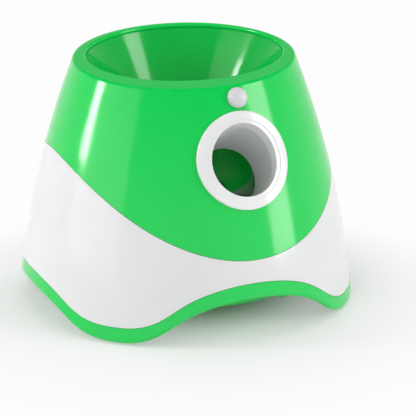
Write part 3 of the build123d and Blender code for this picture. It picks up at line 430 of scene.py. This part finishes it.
def studio_floor(studio):
    """The paper floor."""
    shape = bmesh.new()
    bmesh.ops.create_grid(
        shape, x_segments=FLOOR_SEGMENTS, y_segments=FLOOR_SEGMENTS, size=FLOOR_REACH)
    mesh = bpy.data.meshes.new("studio_floor")
    shape.to_mesh(mesh)
    shape.free()
    floor = link_new("studio_floor", mesh)
    finish(paper_sweep("Matt paper sweep", studio.shadow_lift), floor)


def studio_room(studio):
    """Pale walls that fade into a dark ceiling."""
    world = bpy.data.worlds.new("studio_world")
    bpy.context.scene.world = world
    world.use_nodes = True
    tree = world.node_tree
    tree.nodes.clear()
    heading = add(tree, "ShaderNodeTexCoord").outputs["Generated"]
    rise = add(tree, "ShaderNodeSeparateXYZ", {"Vector": heading}).outputs["Z"]
    level = smooth_range(tree, rise, WALL_TOP, CEILING_WHOLE,
                         studio.horizon_level, studio.ceiling_level)
    back = add(tree, "ShaderNodeBackground", {
        "Color": rgba((1.0, 1.0, 1.0)), "Strength": level})
    add(tree, "ShaderNodeOutputWorld", {"Surface": back.outputs["Background"]})


def studio_lights(studio):
    """Softboxes that gloss shows at both sides, and fills that it does not show."""
    softbox("left_softbox", bearing=-65.0, height=0.6, distance=1.5, size=(1.25, 1.2),
            power=studio.left_level)
    softbox("left_strip", bearing=-85.0, height=0.65, distance=1.35, size=(0.2, 0.55),
            power=studio.strip_level)
    softbox("right_softbox", bearing=71.0, height=0.6, distance=1.4, size=(0.5, 1.1),
            power=studio.right_level)
    softbox("top_fill", bearing=0.0, height=2.2, distance=0.1, size=(2.4, 2.4),
            power=studio.top_level, mirrored=False)
    softbox("front_fill", bearing=-10.0, height=1.3, distance=1.5, size=(1.4, 1.0),
            power=studio.front_level, mirrored=False)


def studio_camera(studio):
    """The camera, low in front and to the left of the exit."""
    camera = bpy.data.cameras.new("studio_camera")
    camera.sensor_width = SENSOR_WIDTH
    camera.lens = studio.lens
    camera.clip_start = CLIP_START
    camera.clip_end = CLIP_END
    holder = link_new("studio_camera", camera)
    aim(holder, CAMERA_PLACE, CAMERA_PLACE + CAMERA_FORWARD)
    bpy.context.scene.camera = holder


# ------------------------------------------------------------------ operators
class LAUNCHER_OT_shells(bpy.types.Operator):
    """Finish the shells, the hopper, the foot band and the bottom"""
    bl_idname = "launcher.shells"
    bl_label = "Shells"

    def execute(self, context):
        colours = context.scene.launcher_colours
        finish(moulded_abs("Glossy moulded ABS, green", colours.body_green),
               "top_shell", "base_band")
        finish(moulded_abs("Glossy moulded ABS, white", colours.shell_white), "lower_shell")
        # Painted shade: a darker copy of the glossy green stands in for the shade inside the
        # hopper.
        finish(moulded_abs("Glossy moulded ABS, deep green", colours.hopper_shaded_green),
               "hopper_bowl")
        finish(satin_abs("Satin moulded ABS, green", colours.body_green),
               "base_pan", "battery_door")
        finish(moulded_rubber("Moulded EPDM rubber", to_linear("#26282A")), "foot_pads")
        return {"FINISHED"}


class LAUNCHER_OT_exit(bpy.types.Operator):
    """Finish the exit ring, the launch tube and the chute"""
    bl_idname = "launcher.exit"
    bl_label = "Exit and chute"

    def execute(self, context):
        colours = context.scene.launcher_colours
        finish(moulded_abs("Glossy moulded ABS, pure white", colours.ring_white), "exit_bezel")
        # Painted shade: the tube's greyer white stands in for the shade inside the bore.
        finish(satin_abs("Satin moulded ABS, white", colours.tube_shaded_white), "launch_barrel")
        # Painted shade: the chute's darker green stands in for the shade inside the body.
        finish(satin_abs("Satin moulded ABS, deep green", colours.chute_shaded_green), "feed_chute")
        finish(clear_polycarbonate("Clear moulded polycarbonate", to_linear("#B9C2BE")),
               "ball_guide")
        finish(satin_abs(GREY_NAME, colours.panel_grey), "barrel_cradle")
        return {"FINISHED"}


class LAUNCHER_OT_sensor(bpy.types.Operator):
    """Finish the motion sensor"""
    bl_idname = "launcher.sensor"
    bl_label = "Motion sensor"

    def execute(self, context):
        colours = context.scene.launcher_colours
        finish(milky_polyethylene("Milky moulded polyethylene", colours.lens_white),
               "sensor_lens")
        finish(solder_mask(BOARD_NAME, to_linear("#176B3A")), "sensor_board")
        finish(nickel("Nickel-plated can"), "sensor_can")
        return {"FINISHED"}


class LAUNCHER_OT_plunger(bpy.types.Operator):
    """Finish the plunger and wind its spring"""
    bl_idname = "launcher.plunger"
    bl_label = "Plunger and spring"

    def execute(self, context):
        colours = context.scene.launcher_colours
        sizes = context.scene.launcher_sizes
        # Painted shade: the striker's darker green stands in for the shadow at the foot of the
        # tube.
        finish(satin_abs("Satin moulded ABS, dark green", colours.striker_shaded_green),
               "plunger_head")
        finish(acetal(ACETAL_NAME, to_linear("#EFECE2")), "plunger_rod", "rod_guide")
        steel = metal("Oiled spring steel", to_linear("#8E8C88"),
                      grain=0.6, rough=(0.24, 0.36), relief=0.01)
        spring = piece_from(coil(sizes), "main_spring", steel)
        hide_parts("launch_spring")
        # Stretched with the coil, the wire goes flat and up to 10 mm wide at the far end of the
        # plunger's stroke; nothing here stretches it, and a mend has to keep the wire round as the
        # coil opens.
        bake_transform(spring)
        return {"FINISHED"}


class LAUNCHER_OT_gears(bpy.types.Operator):
    """Finish the gear train, its frame and the motor"""
    bl_idname = "launcher.gears"
    bl_label = "Gears and motor"

    def execute(self, context):
        finish(bpy.data.materials[ACETAL_NAME], "winding_gear", "second_gear", "first_gear")
        finish(satin_abs("Satin moulded ABS, black", to_linear("#2C2F31")),
               "gearbox_left_plate", "gearbox_right_plate", "gearbox_spacers")
        finish(metal("Zinc-plated steel", to_linear("#BFC1C4"), grain=0.7,
                     rough=(0.22, 0.34), relief=0.006, stretch=(0.1, 1.0, 1.0)),
               "winding_shaft", "second_shaft", "first_shaft", "motor_shaft",
               "case_screws", "barrel_screws")
        finish(metal("Turned brass", to_linear("#C9A24E"), grain=0.5,
                     rough=(0.2, 0.3), relief=0.005, stretch=(4.0, 1.0, 1.0)),
               "motor_pinion")
        finish(metal("Drawn steel can", to_linear("#A9ABAE"), grain=0.9,
                     rough=(0.26, 0.38), relief=0.01, stretch=(0.1, 1.0, 1.0)),
               "drive_motor")
        return {"FINISHED"}


class LAUNCHER_OT_power(bpy.types.Operator):
    """Finish the cells, the contacts and the boards"""
    bl_idname = "launcher.power"
    bl_label = "Cells and boards"

    def execute(self, context):
        finish(satin_abs("Printed cell sleeve", to_linear("#3A4650")), "battery_cells")
        finish(nickel("Nickel-plated spring strip"), "battery_contacts")
        finish(bpy.data.materials[BOARD_NAME], "main_board", "control_board")
        finish(satin_abs("Black thermoset", to_linear("#1B1C1E")),
               "board_parts", "warning_buzzer", "power_inlet")
        return {"FINISHED"}


class LAUNCHER_OT_controls(bpy.types.Operator):
    """Finish the control panel, its buttons and its lamps"""
    bl_idname = "launcher.controls"
    bl_label = "Controls"

    def execute(self, context):
        colours = context.scene.launcher_colours
        finish(bpy.data.materials[GREY_NAME], "control_panel")
        finish(satin_abs("Satin moulded ABS, light grey", colours.button_grey),
               "power_button", "distance_button")
        finish(milky_polyethylene("Diffusing lamp lens", to_linear("#E9EEF0")),
               "indicator_lamps")
        return {"FINISHED"}


class LAUNCHER_OT_stage(bpy.types.Operator):
    """Set up the floor, the lights and the camera"""
    bl_idname = "launcher.stage"
    bl_label = "Studio"

    def execute(self, context):
        studio = context.scene.launcher_studio
        studio_floor(studio)
        studio_room(studio)
        studio_lights(studio)
        studio_camera(studio)
        context.scene.view_settings.view_transform = "Standard"
        return {"FINISHED"}


OPERATORS = (
    LAUNCHER_OT_shells, LAUNCHER_OT_exit, LAUNCHER_OT_sensor, LAUNCHER_OT_plunger,
    LAUNCHER_OT_gears, LAUNCHER_OT_power, LAUNCHER_OT_controls, LAUNCHER_OT_stage,
)


class LAUNCHER_PT_panel(bpy.types.Panel):
    """Lists the steps that finish the launcher"""
    bl_idname = "LAUNCHER_PT_panel"
    bl_label = "Ball launcher"
    bl_space_type = "VIEW_3D"
    bl_region_type = "UI"
    bl_category = "Launcher"

    def draw(self, context):
        for operator in OPERATORS:
            self.layout.operator(operator.bl_idname)


GROUPS = {
    "launcher_colours": LauncherColours,
    "launcher_sizes": LauncherSizes,
    "launcher_studio": LauncherStudio,
}


def register():
    for name, group in GROUPS.items():
        bpy.utils.register_class(group)
        setattr(bpy.types.Scene, name, bpy.props.PointerProperty(type=group))
    for item in (*OPERATORS, LAUNCHER_PT_panel):
        bpy.utils.register_class(item)


def unregister():
    for item in reversed((*OPERATORS, LAUNCHER_PT_panel)):
        bpy.utils.unregister_class(item)
    for name, group in GROUPS.items():
        delattr(bpy.types.Scene, name)
        bpy.utils.unregister_class(group)


def main():
    register()
    for operator in OPERATORS:
        group, name = operator.bl_idname.split(".")
        getattr(getattr(bpy.ops, group), name)()


if __name__ == "__main__":
    main()
